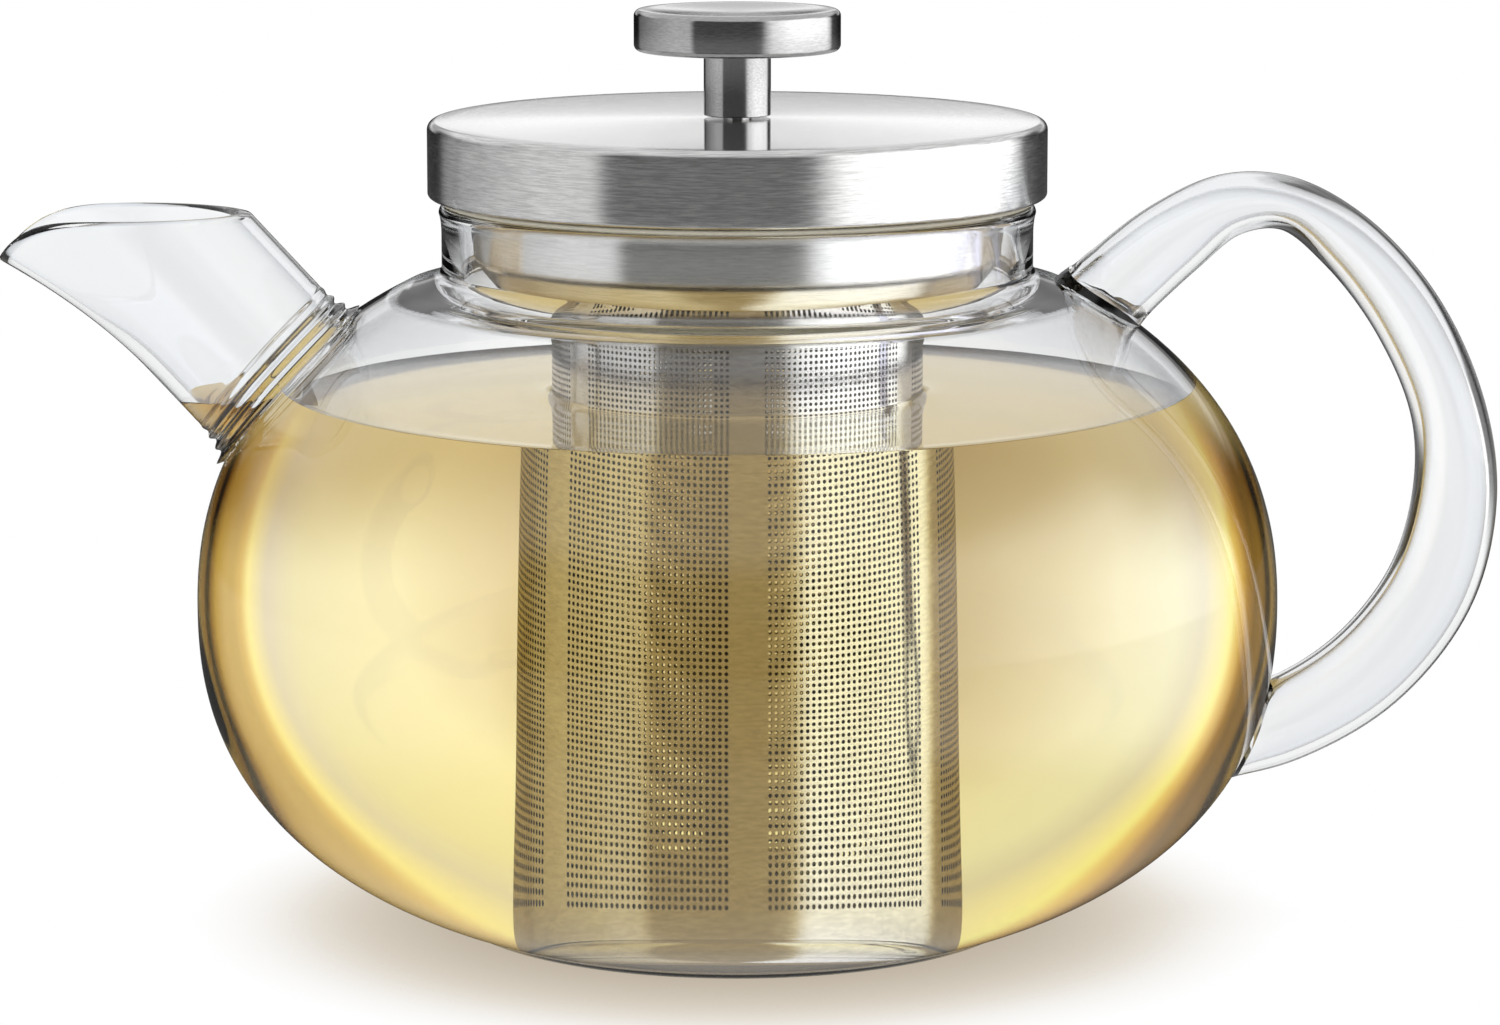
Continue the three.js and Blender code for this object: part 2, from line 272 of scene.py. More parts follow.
def spout_ring(place, inset, turns):
    """A ring of the spout's wall.

    Its place is in millimetres from the bowl up to 9, then 9 plus the part left to the rim.
    """
    ring = []
    for angle in turns:
        is_inner = inset > SPOUT_WALL / 2
        start = spout_start(angle, SPOUT_RADIUS - inset, WALL if is_inner else 0.0)
        away = min(place, 9.0)
        ridges = 0.42 * math.cos(2 * math.pi * away / 1.9) * math.exp(-((max(away - 2.6, 0) / 2.4) ** 2))
        foot = 1.3 * math.exp(-abs(away) / 1.0) if is_inner else 2.0 * math.exp(-abs(away) / 1.4) + ridges
        _, end = spout_point(200.0, angle, inset)
        distance = start + away + max(place - 9.0, 0.0) * (end - start - 9.0)
        ring.append(spout_point(distance, angle, inset, foot)[0])
    return ring


def spout_shell():
    turns = [2 * math.pi * k / 96 for k in range(96)]
    root = [-8, -6, -4, -3, -2, -1.4, -0.9, -0.5, -0.2] + [0.19 * i for i in range(43)] + [8.5, 9]
    shaft = [9 + i / 24 for i in range(1, 24)]
    rim = [(9.975, 0.03), (9.992, 0.25), (10, 0.5), (9.992, 0.75), (9.975, 0.97)]
    stations = [(place, 0.0) for place in root + shaft] + [(place, part * SPOUT_WALL) for place, part in rim]
    stations += [(place, SPOUT_WALL) for place in reversed(root + shaft)]
    return loop_rings("spout_shell", [spout_ring(place, inset, turns) for place, inset in stations], True)


def spout_tea():
    """The tea that stands in the spout's root."""
    turns = [2 * math.pi * k / 96 for k in range(96)]
    places = [-0.2 + 0.4 * i for i in range(24)] + [9.2, 9.6]
    rings = [spout_ring(place, SPOUT_WALL - TEA_OVERLAP, turns) for place in places]
    ends = [[np.mean(ring, axis=0)] for ring in (rings[0], rings[-1])]
    tea = loop_rings("spout_tea", [ends[0]] + rings + [ends[1]], False)
    half = 120.0
    corners = [(x, y, z) for z in (-10.0, TEA_LEVEL) for y in (-half, half) for x in (-half, half)]
    faces = [(0, 2, 3, 1), (4, 5, 7, 6), (0, 1, 5, 4), (2, 6, 7, 3), (0, 4, 6, 2), (1, 3, 7, 5)]
    return smooth(boolean(tea, mesh_object("below_level", corners, faces), "INTERSECT"))


def rod(name, radius):
    """A full round rod on the spout's centre line, from inside the bowl to just outside its wall."""
    turns = [2 * math.pi * k / 80 for k in range(80)]
    rings = [[spout_place(distance, angle, radius) for angle in turns] for distance in (-22.0, 22.0)]
    ends = [[spout_place(distance, 0.0, 0.0)] for distance in (-22.0, 22.0)]
    return loop_rings(name, [ends[0]] + rings + [ends[1]], False)


def catmull_rom(points, count):
    """Centripetal Catmull-Rom through the points, as in the CAD part: places and unit tangents."""
    points = [np.array(p, float) for p in points]
    ends = [2 * points[0] - points[1]] + points + [2 * points[-1] - points[-2]]
    places = []
    for i in range(count + 1):
        place = i / count * (len(points) - 1)
        k = min(int(place), len(points) - 2)
        t = place - k
        p0, p1, p2, p3 = ends[k : k + 4]
        d0, d1, d2 = (max(np.linalg.norm(b - a) ** 0.5, 1e-6) for a, b in ((p0, p1), (p1, p2), (p2, p3)))
        m1 = ((p1 - p0) / d0 - (p2 - p0) / (d0 + d1) + (p2 - p1) / d1) * d1
        m2 = ((p2 - p1) / d1 - (p3 - p1) / (d1 + d2) + (p3 - p2) / d2) * d1
        a = 2 * t**3 - 3 * t**2 + 1
        b = t**3 - 2 * t**2 + t
        c = -2 * t**3 + 3 * t**2
        d = t**3 - t**2
        places.append(a * p1 + b * m1 + c * p2 + d * m2)
    places = np.array(places)
    tangents = np.gradient(places, axis=0)
    return places, tangents / np.linalg.norm(tangents, axis=1)[:, None]


def handle_rod(name, offset, foot=0.0, sides=48, steps=120):
    """The handle's outside as a full rod, moved out by offset.

    Its ends are spread by foot where they meet the bowl.
    """
    places, tangents = catmull_rom([(x, thick, z) for x, z, thick in HANDLE_ROUTE], steps)
    rings = []
    for (x, thick, z), (tx, _, tz) in zip(places, tangents):
        length = math.hypot(tx, tz)
        tx, tz = tx / length, tz / length
        ring = []
        for s in range(sides):
            a = 2 * math.pi * s / sides
            across, sideways = thick / 2 + offset, HANDLE_GIRTH - thick / 2 + offset
            px = x + across * math.cos(a) * tz
            pz = z - across * math.cos(a) * tx
            py = sideways * math.sin(a)
            away = max(above_bowl(px, py, pz), 0)
            spread = foot * math.exp(-away / 1.3) * (1 + 0.25 * math.cos(4.2 * away))
            grown = 1 + spread / max(across, 1)
            ring.append((x + (px - x) * grown, py * (1 + spread / sideways), z + (pz - z) * grown))
        rings.append(ring)
    first, last = places[0], places[-1]
    rings = [[(first[0], 0, first[2])]] + rings + [[(last[0], 0, last[2])]]
    return loop_rings(name, rings, False)


def cavity(name, offset, top):
    outline = cavity_outline(offset)
    inner = outline[-1][0]
    return lathe(name, outline + [(inner, top), (0, top)], 192)


def fused_glass():
    outline = pot_outline(0.0)
    inner = NECK_RADIUS - NECK_WALL
    crest = RIM - 1.2
    outline += fillet(
        (NECK_RADIUS, RIM - 4.5), (NECK_RADIUS, RIM - 2.4), (NECK_RADIUS + NECK_LIP, RIM - 1.2), 5
    )
    outline += arc(NECK_RADIUS + NECK_LIP - 1.2, crest, 1.2, 5, 90, 7)
    outline += arc(inner + 1.2, crest, 1.2, 90, 180, 7)
    outline += [(inner, RIM - 6.0), (0, RIM - 6.0)]
    glass = lathe("glass_vessel", outline, 192)
    boolean(glass, rod("spout_hole", SPOUT_RADIUS - SPOUT_WALL / 2), "DIFFERENCE")
    boolean(glass, spout_shell(), "UNION")
    boolean(glass, handle_rod("handle_outside", -0.06, foot=0.5), "UNION")
    boolean(glass, cavity("cavity", 0.0, RIM - 2.0), "DIFFERENCE")
    grown = lathe("grown_bowl", pot_outline(0.9) + [(0, NECK_BOTTOM + 1.2)], 96)
    bore = boolean(handle_rod("handle_bore", -HANDLE_WALL), grown, "DIFFERENCE")
    boolean(glass, bore, "DIFFERENCE")
    return smooth(glass)


# ---- Tea ----


def tea_height(x, y):
    """The tea's surface, drawn up a little where it meets the glass and the basket."""
    wall = bowl_radius(TEA_LEVEL) - 1.1 * WALL
    away = math.hypot(x, y)
    rise = 1.5 * math.exp(-max(wall - away, 0.0) / 1.5)
    return TEA_LEVEL + rise + 0.7 * math.exp(-abs(away - BASKET_RADIUS + 0.25) / 0.9)


def tea_body():
    tea = cavity("tea", TEA_OVERLAP, 96.0)
    radii = [0.01, 10, 20, 25, 27, 28, 28.6, 29.2, 30, 32, 36, 44, 52, 60, 66, 69, 71, 72.2, 73.2, 74, 75,
             78, 82, 90, 100]
    outline = [(0, -8), (110, -8), (110, TEA_LEVEL)] + [(r, TEA_LEVEL) for r in reversed(radii[1:])]
    outline += [(0, TEA_LEVEL)]
    below = lathe("below_surface", outline, 192)
    for v in below.data.vertices:
        if v.co.z > 0.5 * TEA_LEVEL * MM:
            v.co.z = tea_height(v.co.x / MM, v.co.y / MM) * MM
    boolean(tea, below, "INTERSECT")
    return smooth(tea)


# ---- Infuser ----


def neck_seal():
    low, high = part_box("neck_seal")
    bore, radius, top, lip, foot = 41.4, high.x / MM, high.z / MM, 42.8, low.z / MM
    rim_top = RIM + 0.3
    edge = (top - rim_top) / 2
    return lathe("neck_seal_ring", [
        (bore, top - 0.2), (bore, foot + 0.2), (bore + 0.2, foot), (lip - 0.6, foot),
        *arc(lip - 0.6, foot + 0.6, 0.6, -90, 0, 5), (lip, rim_top),
        *arc(radius - edge, rim_top + edge, edge, -90, 90, 8), (bore + 0.2, top),
    ], 192)


def infuser_collar():
    radius, sheet, shoulder, foot_radius, foot = 41.0, 0.6, 104.4, 37.0, 97.2
    low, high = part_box("infuser_collar")
    flange, top = high.x / MM, high.z / MM
    spigot = BASKET_RADIUS - BASKET_SHEET - 0.3
    taper = fillet((radius - 0.55, shoulder - 1.0), (radius, shoulder), (radius, shoulder + 1.1), 5)
    inner_taper = [(r - sheet, z + 0.1) for r, z in reversed(taper)]
    return lathe("infuser_collar_spun", [
        (spigot - sheet, low.z / MM), (spigot, low.z / MM), (spigot, foot - 0.2), (spigot + 0.2, foot),
        *arc(foot_radius - 1.2, foot + 1.2, 1.2, -90, -30, 8), *taper,
        *arc(radius + 0.5, top - sheet - 0.5, 0.5, 180, 90, 5),
        (flange - 0.2, top - sheet), (flange, top - sheet + 0.2), (flange, top - 0.2), (flange - 0.2, top),
        *arc(radius + 0.4, top - 1.0, 1.0, 90, 180, 6), *inner_taper,
        *arc(foot_radius - 1.2, foot + 1.2, 1.2 - sheet, -30, -90, 6), (spigot - sheet + 0.3, foot + sheet),
        (spigot - sheet, foot + sheet - 0.3),
    ], 192)


def infuser_bottom():
    low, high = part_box("infuser_bottom")
    bottom, top, radius = low.z / MM, high.z / MM, high.x / MM
    cup, inner = bottom + 3.2, radius - BASKET_SHEET - 0.3
    return lathe("infuser_cup", [
        (0, bottom + 0.6), (radius - 6.0, bottom + 0.6), (radius - 5.2, bottom + 0.45),
        (radius - 4.2, bottom),
        *arc(radius - 2.0, bottom + 2.0, 2.0, -90, 0, 10), (radius, cup - 0.5), (radius - 0.15, cup - 0.2),
        (radius - 0.3, cup), (inner, cup), (inner, top), (inner - BASKET_SHEET, top),
        (inner - BASKET_SHEET, bottom + 2.6),
        *arc(inner - BASKET_SHEET - 1.4, bottom + 2.6, 1.4, 0, -90, 6), (0, bottom + 1.2),
    ], 160)


def basket_sector(index):
    """A sixth of the rolled sleeve: a plain bar, then a panel of round holes, with a plain top and foot."""
    start = FIRST_BAR + index * 2 * math.pi / BARS - BAR_ANGLE / 2
    span = 2 * math.pi / BARS
    panel = span - BAR_ANGLE
    angles = [start + BAR_ANGLE * i / 6 for i in range(6)]
    columns = [start + BAR_ANGLE + panel * i / (2 * HOLE_COLUMNS) for i in range(2 * HOLE_COLUMNS + 1)]
    angles = np.array(angles + columns)
    rows = np.linspace(HOLES_LOW, HOLES_TOP, 2 * HOLE_ROWS + 1)
    heights = np.concatenate([[BASKET_LOW, BASKET_LOW + 0.3], rows, [BASKET_TOP - 0.3, BASKET_TOP]])
    radii = (BASKET_RADIUS, BASKET_RADIUS - BASKET_SHEET)
    wide, high = len(angles), len(heights)
    vertices, faces = [], []

    def grid(layer, i, j):
        return layer * wide * high + j * wide + i

    for radius in radii:
        for z in heights:
            r = radius - 0.12 if radius == BASKET_RADIUS and z in (heights[0], heights[-1]) else radius
            vertices.extend((r * math.cos(a), r * math.sin(a), z) for a in angles)

    def quad(a, b, c, d, layer):
        faces.append((a, b, c, d) if layer == 0 else (d, c, b, a))

    first_column, first_row = 6, 2
    for layer in (0, 1):
        for j in range(high - 1):
            for i in range(wide - 1):
                in_panel = i >= first_column and first_row <= j < first_row + 2 * HOLE_ROWS
                if not in_panel:
                    quad(grid(layer, i, j), grid(layer, i + 1, j), grid(layer, i + 1, j + 1),
                         grid(layer, i, j + 1), layer)
    around = [(2, 1), (2, 2), (1, 2), (0, 2), (0, 1), (0, 0), (1, 0), (2, 0)]
    for row in range(HOLE_ROWS):
        for column in range(HOLE_COLUMNS):
            i0, j0 = first_column + 2 * column, first_row + 2 * row
            angle, z = angles[i0 + 1], heights[j0 + 1]
            rings = []
            for layer, radius in enumerate(radii):
                ring = []
                for k in range(8):
                    turn = math.pi / 4 * k
                    a = angle + HOLE_RADIUS * math.cos(turn) / BASKET_RADIUS
                    ring.append(len(vertices))
                    height = z + HOLE_RADIUS * math.sin(turn)
                    vertices.append((radius * math.cos(a), radius * math.sin(a), height))
                rings.append(ring)
                for k in range(8):
                    n = (k + 1) % 8
                    edge = [grid(layer, i0 + around[q][0], j0 + around[q][1]) for q in (k, n)]
                    quad(edge[0], edge[1], ring[n], ring[k], layer)
            for k in range(8):
                n = (k + 1) % 8
                faces.append((rings[0][k], rings[0][n], rings[1][n], rings[1][k]))
    for j in range(high - 1):
        faces.append((grid(0, 0, j), grid(0, 0, j + 1), grid(1, 0, j + 1), grid(1, 0, j)))
        faces.append((grid(1, wide - 1, j), grid(1, wide - 1, j + 1),
                      grid(0, wide - 1, j + 1), grid(0, wide - 1, j)))
    for i in range(wide - 1):
        faces.append((grid(0, i + 1, 0), grid(0, i, 0), grid(1, i, 0), grid(1, i + 1, 0)))
        faces.append((grid(0, i, high - 1), grid(0, i + 1, high - 1),
                      grid(1, i + 1, high - 1), grid(1, i, high - 1)))
    return smooth(mesh_object(f"basket_sector_{index + 1}", vertices, faces), 30)


# ---- Lid ----


def lid_cap():
    low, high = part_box("lid_cap")
    radius, bottom, top = high.x / MM, low.z / MM, high.z / MM
    sheet, hem, hem_sheet, edge = 1.0, 45.9, 0.7, 1.3
    return lathe("lid_shell", [
        (2.3, top - sheet), (radius - sheet - 0.5, top - sheet),
        *arc(radius - sheet - 0.5, top - sheet - 0.5, 0.5, 90, 0, 4),
        (radius - sheet, bottom + hem_sheet), (hem + 0.2, bottom + hem_sheet),
        (hem, bottom + hem_sheet - 0.2),
        (hem, bottom + 0.15), (hem + 0.15, bottom), (radius - 0.6, bottom),
        *arc(radius - 0.6, bottom + 0.6, 0.6, -90, 0, 6),
        *[(radius, bottom + 0.6 + (top - bottom - 0.95 - edge) * i / 8) for i in range(1, 9)],
        *arc(radius - edge, top - edge - 0.35, edge, 0, 90, 10)[1:],
        *[(radius - edge - (radius - edge - 2.3) * i / 16, top - 0.35 * (1 - i / 16) ** 2)
          for i in range(1, 17)],
    ], 224)


def lid_liner():
    low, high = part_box("lid_liner")
    radius, flange, sheet, bottom, flange_top = 39.0, high.x / MM, 0.6, low.z / MM, high.z / MM
    return lathe("lid_pan", [
        (0, bottom), (radius - 1.6, bottom), *arc(radius - 1.4, bottom + 1.4, 1.4, -90, 0, 8),
        (radius, flange_top - sheet),
        (flange, flange_top - sheet), (flange, flange_top), (radius - sheet, flange_top),
        *arc(radius - 1.4, bottom + 1.4, 0.8, 0, -90, 6), (0, bottom + sheet),
    ], 160)


def lid_seal():
    low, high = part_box("lid_seal")
    bottom, height, radius, bore = low.z / MM, (high.z - low.z) / MM, high.x / MM, 39.3
    outline = [(bore, bottom)]
    for i in range(3):
        middle = bottom + height * (i + 0.5) / 3
        for k in range(-4, 5):
            swell = math.cos(math.pi * k / 9)
            outline.append((radius - 0.4 + 0.4 * swell, middle + k * height / 27))
    return lathe("lid_seal_ring", outline + [(bore, bottom + height)], 160)


def knob_piece():
    low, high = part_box("knob")
    radius, foot, top = high.x / MM, low.z / MM, high.z / MM
    stem, thick, edge, curve, dish = 5.2, 6.4, 1.0, 0.9, 0.5
    under = top - thick
    face = [(radius - 2.2 - (radius - 2.2) * i / 14, top - dish * math.sin(math.pi / 2 * i / 14))
            for i in range(15)]
    return lathe("knob_turned", [
        (0, foot + 9.0), (2.3, foot + 9.0), (2.3, foot), (stem - 0.15, foot), (stem, foot + 0.15),
        *arc(stem + curve, under - curve, curve, 180, 90, 8),
        *arc(radius - edge, under + edge, edge, -90, 0, 8),
        *arc(radius - edge, top - edge, edge, 0, 90, 8), *face,
    ], 160)


# ---- Materials ----


def material(name):
    made = bpy.data.materials.new(name)
    made.use_nodes = True
    made.node_tree.nodes.clear()
    return made, made.node_tree


def node(tree, kind, sockets=None, **settings):
    made = tree.nodes.new("ShaderNode" + kind)
    for key, value in settings.items():
        setattr(made, key, value)
    for key, value in (sockets or {}).items():
        if isinstance(value, bpy.types.NodeSocket):
            tree.links.new(value, made.inputs[key])
        else:
            made.inputs[key].default_value = value
    return made


def ramp(tree, factor, stops):
    """A colour ramp over 0 to 1. A stop is a place and a grey or a colour, of any brightness."""
    made = node(tree, "ValToRGB", {"Fac": factor})
    elements = made.color_ramp.elements
    while len(elements) < len(stops):
        elements.new(0.5)
    for element, (where, colour) in zip(elements, stops):
        element.position = where
        element.color = (*colour, 1) if isinstance(colour, tuple) else (colour, colour, colour, 1)
    return made.outputs[0]


def spread(tree, value, low, high, out_low=0.0, out_high=1.0):
    sockets = {"Value": value, "From Min": low, "From Max": high, "To Min": out_low, "To Max": out_high}
    return node(tree, "MapRange", sockets, interpolation_type="SMOOTHSTEP").outputs[0]


def mix(tree, factor, first, second, blend="MIX"):
    sockets = {"Fac": factor, "Color1": first, "Color2": second}
    return node(tree, "MixRGB", sockets, blend_type=blend).outputs[0]


def product(tree, first, second):
    return node(tree, "Math", {0: first, 1: second}, operation="MULTIPLY").outputs[0]


def finish_material(tree, shader, volume=None):
    output = node(tree, "OutputMaterial", {"Surface": shader.outputs[0]})
    if volume:
        tree.links.new(volume.outputs[0], output.inputs["Volume"])


def clear_glass():
    made, tree = material("clear_glass")
    place = node(tree, "TexCoord").outputs["Object"]
    waves = node(tree, "TexNoise", {"Vector": place, "Scale": 26.0, "Detail": 1.0, "Roughness": 0.4})
    bump = node(tree, "Bump", {"Strength": 0.05, "Distance": 0.001, "Height": waves.outputs["Fac"]})
    shader = node(tree, "BsdfPrincipled", {
        "Base Color": (0.98, 0.987, 0.988, 1), "Roughness": 0.0, "IOR": GLASS_INDEX,
        "Transmission Weight": 1.0, "Normal": bump.outputs[0],
    })
    finish_material(tree, shader)
    return made


def tea_liquid(name, absorbed, density):
    made, tree = material(name)
    place = node(tree, "TexCoord").outputs["Object"]
    waves = node(tree, "TexNoise", {"Vector": place, "Scale": 14.0, "Detail": 0.0})
    bump = node(tree, "Bump", {"Strength": 0.02, "Distance": 0.001, "Height": waves.outputs["Fac"]})
    shader = node(tree, "BsdfPrincipled", {
        "Base Color": WHITE, "Roughness": 0.0, "IOR": TEA_INDEX, "Transmission Weight": 1.0,
        "Normal": bump.outputs[0],
    })
    volume = node(tree, "VolumeAbsorption", {"Color": absorbed, "Density": density})
    finish_material(tree, shader, volume)
    return made


def silicone():
    made, tree = material("pale_silicone")
    place = node(tree, "TexCoord").outputs["Object"]
    mottle = node(tree, "TexNoise", {"Vector": place, "Scale": 900.0, "Detail": 3.0})
    tint = node(tree, "MixRGB", {
        "Fac": mottle.outputs["Fac"], "Color1": (0.88, 0.82, 0.66, 1), "Color2": (0.95, 0.91, 0.78, 1)})
    bump = node(tree, "Bump", {"Strength": 0.1, "Distance": 0.0002, "Height": mottle.outputs["Fac"]})
    shader = node(tree, "BsdfPrincipled", {
        "Base Color": tint.outputs[0], "Roughness": 0.42, "IOR": SILICONE_INDEX, "Transmission Weight": 0.35,
        "Normal": bump.outputs[0],
    })
    finish_material(tree, shader)
    return made


def brushed_steel(name, colour, roughness, face_roughness, anisotropy, grain, contrast, shaded_inside_radius=0.0):
    """Steel with fine grain that runs round Z, stacked in height on walls and in radius on faces.

    Walls are rougher than faces. Inside the given inner radius, the inner side of a rolled sheet, its colour
    is painted dark as shade.
    """
    made, tree = material(name)
    place = node(tree, "SeparateXYZ", {0: node(tree, "TexCoord").outputs["Object"]})
    x, y, z = place.outputs
    squares = [node(tree, "Math", {0: c, 1: c}, operation="MULTIPLY").outputs[0] for c in (x, y)]
    total = node(tree, "Math", {0: squares[0], 1: squares[1]}, operation="ADD").outputs[0]
    radius = node(tree, "Math", {0: total}, operation="SQRT").outputs[0]
    flat = node(tree, "CombineXYZ", {"X": x, "Y": y})
    around = node(tree, "VectorMath", {0: flat.outputs[0]}, operation="NORMALIZE")
    slow = node(tree, "VectorMath", {0: around.outputs[0], "Scale": 3.0}, operation="SCALE")
    height = node(tree, "Math", {0: z, 1: 1000.0 * grain}, operation="MULTIPLY").outputs[0]
    reach = node(tree, "Math", {0: radius, 1: 1000.0 * grain}, operation="MULTIPLY").outputs[0]
    stack = node(tree, "CombineXYZ", {"X": reach, "Z": height})
    where = node(tree, "VectorMath", {0: slow.outputs[0], 1: stack.outputs[0]}, operation="ADD")
    lines = node(tree, "TexNoise", {
        "Vector": where.outputs[0], "Scale": 4.0, "Detail": 3.0, "Roughness": 0.7})
    streaks = spread(tree, lines.outputs["Fac"], 0.3, 0.7)
    dark = tuple(c * (1 - contrast) for c in colour) + (1,)
    light = tuple(min(c * (1 + contrast), 1) for c in colour) + (1,)
    tint = mix(tree, streaks, dark, light)
    # Painted shade: inside the sheet the colour turns dark brown-grey, so the holes show darker.
    if shaded_inside_radius:
        is_inner = spread(tree, radius, shaded_inside_radius * MM, (shaded_inside_radius - 0.1) * MM)
        tint = mix(tree, is_inner, tint, (0.2, 0.19, 0.17, 1))
    facing = node(tree, "SeparateXYZ", {0: node(tree, "NewGeometry").outputs["Normal"]}).outputs[2]
    is_face = spread(tree, node(tree, "Math", {0: facing}, operation="ABSOLUTE").outputs[0], 0.5, 0.9)
    base = spread(tree, is_face, 0.0, 1.0, roughness, face_roughness)
    uneven = spread(tree, streaks, 0.0, 1.0, -0.02, 0.02)
    rough = node(tree, "Math", {0: base, 1: uneven}, operation="ADD").outputs[0]
    bump = node(tree, "Bump", {"Strength": 0.15, "Distance": 0.00002, "Height": lines.outputs["Fac"]})
    tangent = node(tree, "Tangent", direction_type="RADIAL", axis="Z")
    shader = node(tree, "BsdfPrincipled", {
        "Base Color": tint, "Metallic": 1.0, "Roughness": rough, "Anisotropic": anisotropy,
        "Anisotropic Rotation": 0.25, "Tangent": tangent.outputs[0], "Normal": bump.outputs[0],
    })
    finish_material(tree, shader)
    return made


# ---- Studio ----


def room_around(tree, azimuth):
    """The room at eye height as steel mirrors it.

    Dim behind the camera, with a soft box on the right and dark far sides.
    """
    degrees = [(-180, 0.07), (-150, 0.05), (-144, 0.08), (-138, 0.36), (-124, 0.47), (-98, 0.67), (-73, 0.82),
               (-54, 0.8), (-48, 0.23), (20, 0.22), (27, 0.3), (33, 0.85), (40, 1.28), (65, 1.62), (88, 1.62),
               (118, 1.5), (126, 1.0), (132, 0.22), (145, 0.13), (152, 0.08), (180, 0.07)]
    return ramp(tree, azimuth, [(angle / 360 + 0.5, grey) for angle, grey in degrees])


def whole_room(tree, around, x, y, z):
    """The room with its pale top and bottom, and the backdrop behind the object.

    What is mirrored well above eye height is crisper. The backdrop falls off to both sides.
    """
    crisp = node(tree, "Gamma", {"Color": around, "Gamma": 1.6}).outputs[0]
    around = mix(tree, spread(tree, z, -0.105, -0.09), around, crisp)
    backdrop = spread(tree, z, 0.084, 0.1, 0.5, 1.25)
    backdrop = mix(tree, spread(tree, z, 0.12, 0.15), backdrop, (0.7, 0.7, 0.7, 1))
    behind = product(tree, spread(tree, y, 0.84, 0.92), spread(tree, z, 0.03, 0.07))
    side = node(tree, "Math", {0: x}, operation="ABSOLUTE").outputs[0]
    backdrop = mix(tree, 1.0, backdrop, spread(tree, side, 0.04, 0.1, 1.0, 0.6), "MULTIPLY")
    room = mix(tree, behind, around, backdrop)
    above = product(tree, spread(tree, z, 0.22, 0.4), spread(tree, y, 0.1, 0.4))
    room = mix(tree, above, room, (0.85, 0.85, 0.86, 1))
    room = mix(tree, spread(tree, z, 0.4, 0.65), room, (0.75, 0.75, 0.75, 1))
    return mix(tree, spread(tree, z, -0.3, -0.6), room, (0.45, 0.45, 0.44, 1))


def warmed(tree, colour):
    """Light that has been twice through the tea: dark parts turn brown and bright parts stay pale."""
    bright = node(tree, "RGBToBW", {0: colour}).outputs[0]
    grey = node(tree, "Math", {0: bright, 1: 1.4}, operation="DIVIDE").outputs[0]
    return ramp(tree, grey, [(0.0, (0.36, 0.25, 0.12)), (0.14, (0.4, 0.3, 0.17)), (0.55, (0.74, 0.62, 0.46)),
                             (0.95, (1.4, 1.4, 1.7))])


def seen_through_glass(tree, angle):
    """The backdrop through empty glass, by the angle from straight ahead.

    White, then bluish grey, then dark beyond its edge.
    """
    degrees = [
        (0, 0.98), (10, (0.92, 0.93, 0.95)), (22, (0.83, 0.85, 0.89)), (34, (0.66, 0.68, 0.72)),
        (42, (0.45, 0.44, 0.43)), (50, (0.2, 0.18, 0.16)), (56, 0.06), (66, 0.06), (74, 0.3), (88, 0.75),
    ]
    return ramp(tree, angle, [(a / 90, c) for a, c in degrees])


def seen_through_tea(tree, x, z, angle):
    """The backdrop through the tea, which bends it far more.

    It is duller on the left, and darker gold towards the table.
    """
    left = [
        (0, (0.62, 0.54, 0.5)), (6, (0.64, 0.55, 0.5)), (10, (0.84, 0.78, 0.82)),
        (13.5, (1.0, 1.0, 1.15)), (18, (1.04, 1.08, 1.25)), (21.5, (0.93, 0.92, 1.1)),
        (24.8, (1.25, 1.2, 0.9)), (26.6, (1.35, 1.35, 0.66)), (28, (1.2, 0.88, 0.26)),
        (29.9, (0.85, 0.52, 0.13)), (31, (0.55, 0.3, 0.05)), (33.7, (0.28, 0.15, 0.01)),
        (36.9, (0.4, 0.22, 0.02)), (38.6, (0.3, 0.16, 0.01)), (39.6, (0.01, 0.005, 0.0)),
        (42, (0.01, 0.005, 0.0)), (44.5, (0.9, 0.6, 0.2)), (50, (0.5, 0.44, 0.36)),
        (60, (0.32, 0.33, 0.35)),
    ]
    right = [
        (0, (0.95, 0.86, 0.95)), (6.5, (0.96, 0.88, 1.0)), (10.5, (1.16, 1.14, 1.25)),
        (18, (1.1, 1.08, 1.1)), (22, (1.02, 0.98, 1.2)), (25.3, (1.4, 1.3, 0.8)),
        (26.9, (1.1, 0.8, 0.34)), (28.9, (0.88, 0.62, 0.25)), (32, (0.94, 0.65, 0.22)),
        (35.4, (0.92, 0.6, 0.14)), (38.5, (0.41, 0.2, 0.03)), (39.8, (0.02, 0.01, 0.0)),
        (41.8, (0.02, 0.01, 0.0)), (43.2, (0.5, 0.25, 0.05)), (48, (1.2, 0.8, 0.25)),
        (56, (1.2, 1.1, 0.9)), (70, (1.0, 1.0, 0.95)),
    ]
    sides = [ramp(tree, angle, [(a / 90, c) for a, c in stops]) for stops in (left, right)]
    both = mix(tree, spread(tree, x, -0.05, 0.05), *sides)
    low = mix(tree, spread(tree, z, -0.31, -0.17), (0.58, 0.48, 0.32, 1), (1.0, 1.0, 1.0, 1))
    both = mix(tree, 1.0, both, low, "MULTIPLY")
    height = mix(tree, spread(tree, z, -0.2, 0.12), (1.0, 1.0, 1.14, 1), (0.98, 0.95, 0.82, 1))
    both = mix(tree, 1.0, both, height, "MULTIPLY")
    both = mix(tree, spread(tree, z, 0.45, 0.58), both, (0.42, 0.26, 0.09, 1))
    return mix(tree, spread(tree, z, -0.32, -0.45), both, (0.66, 0.53, 0.3, 1))


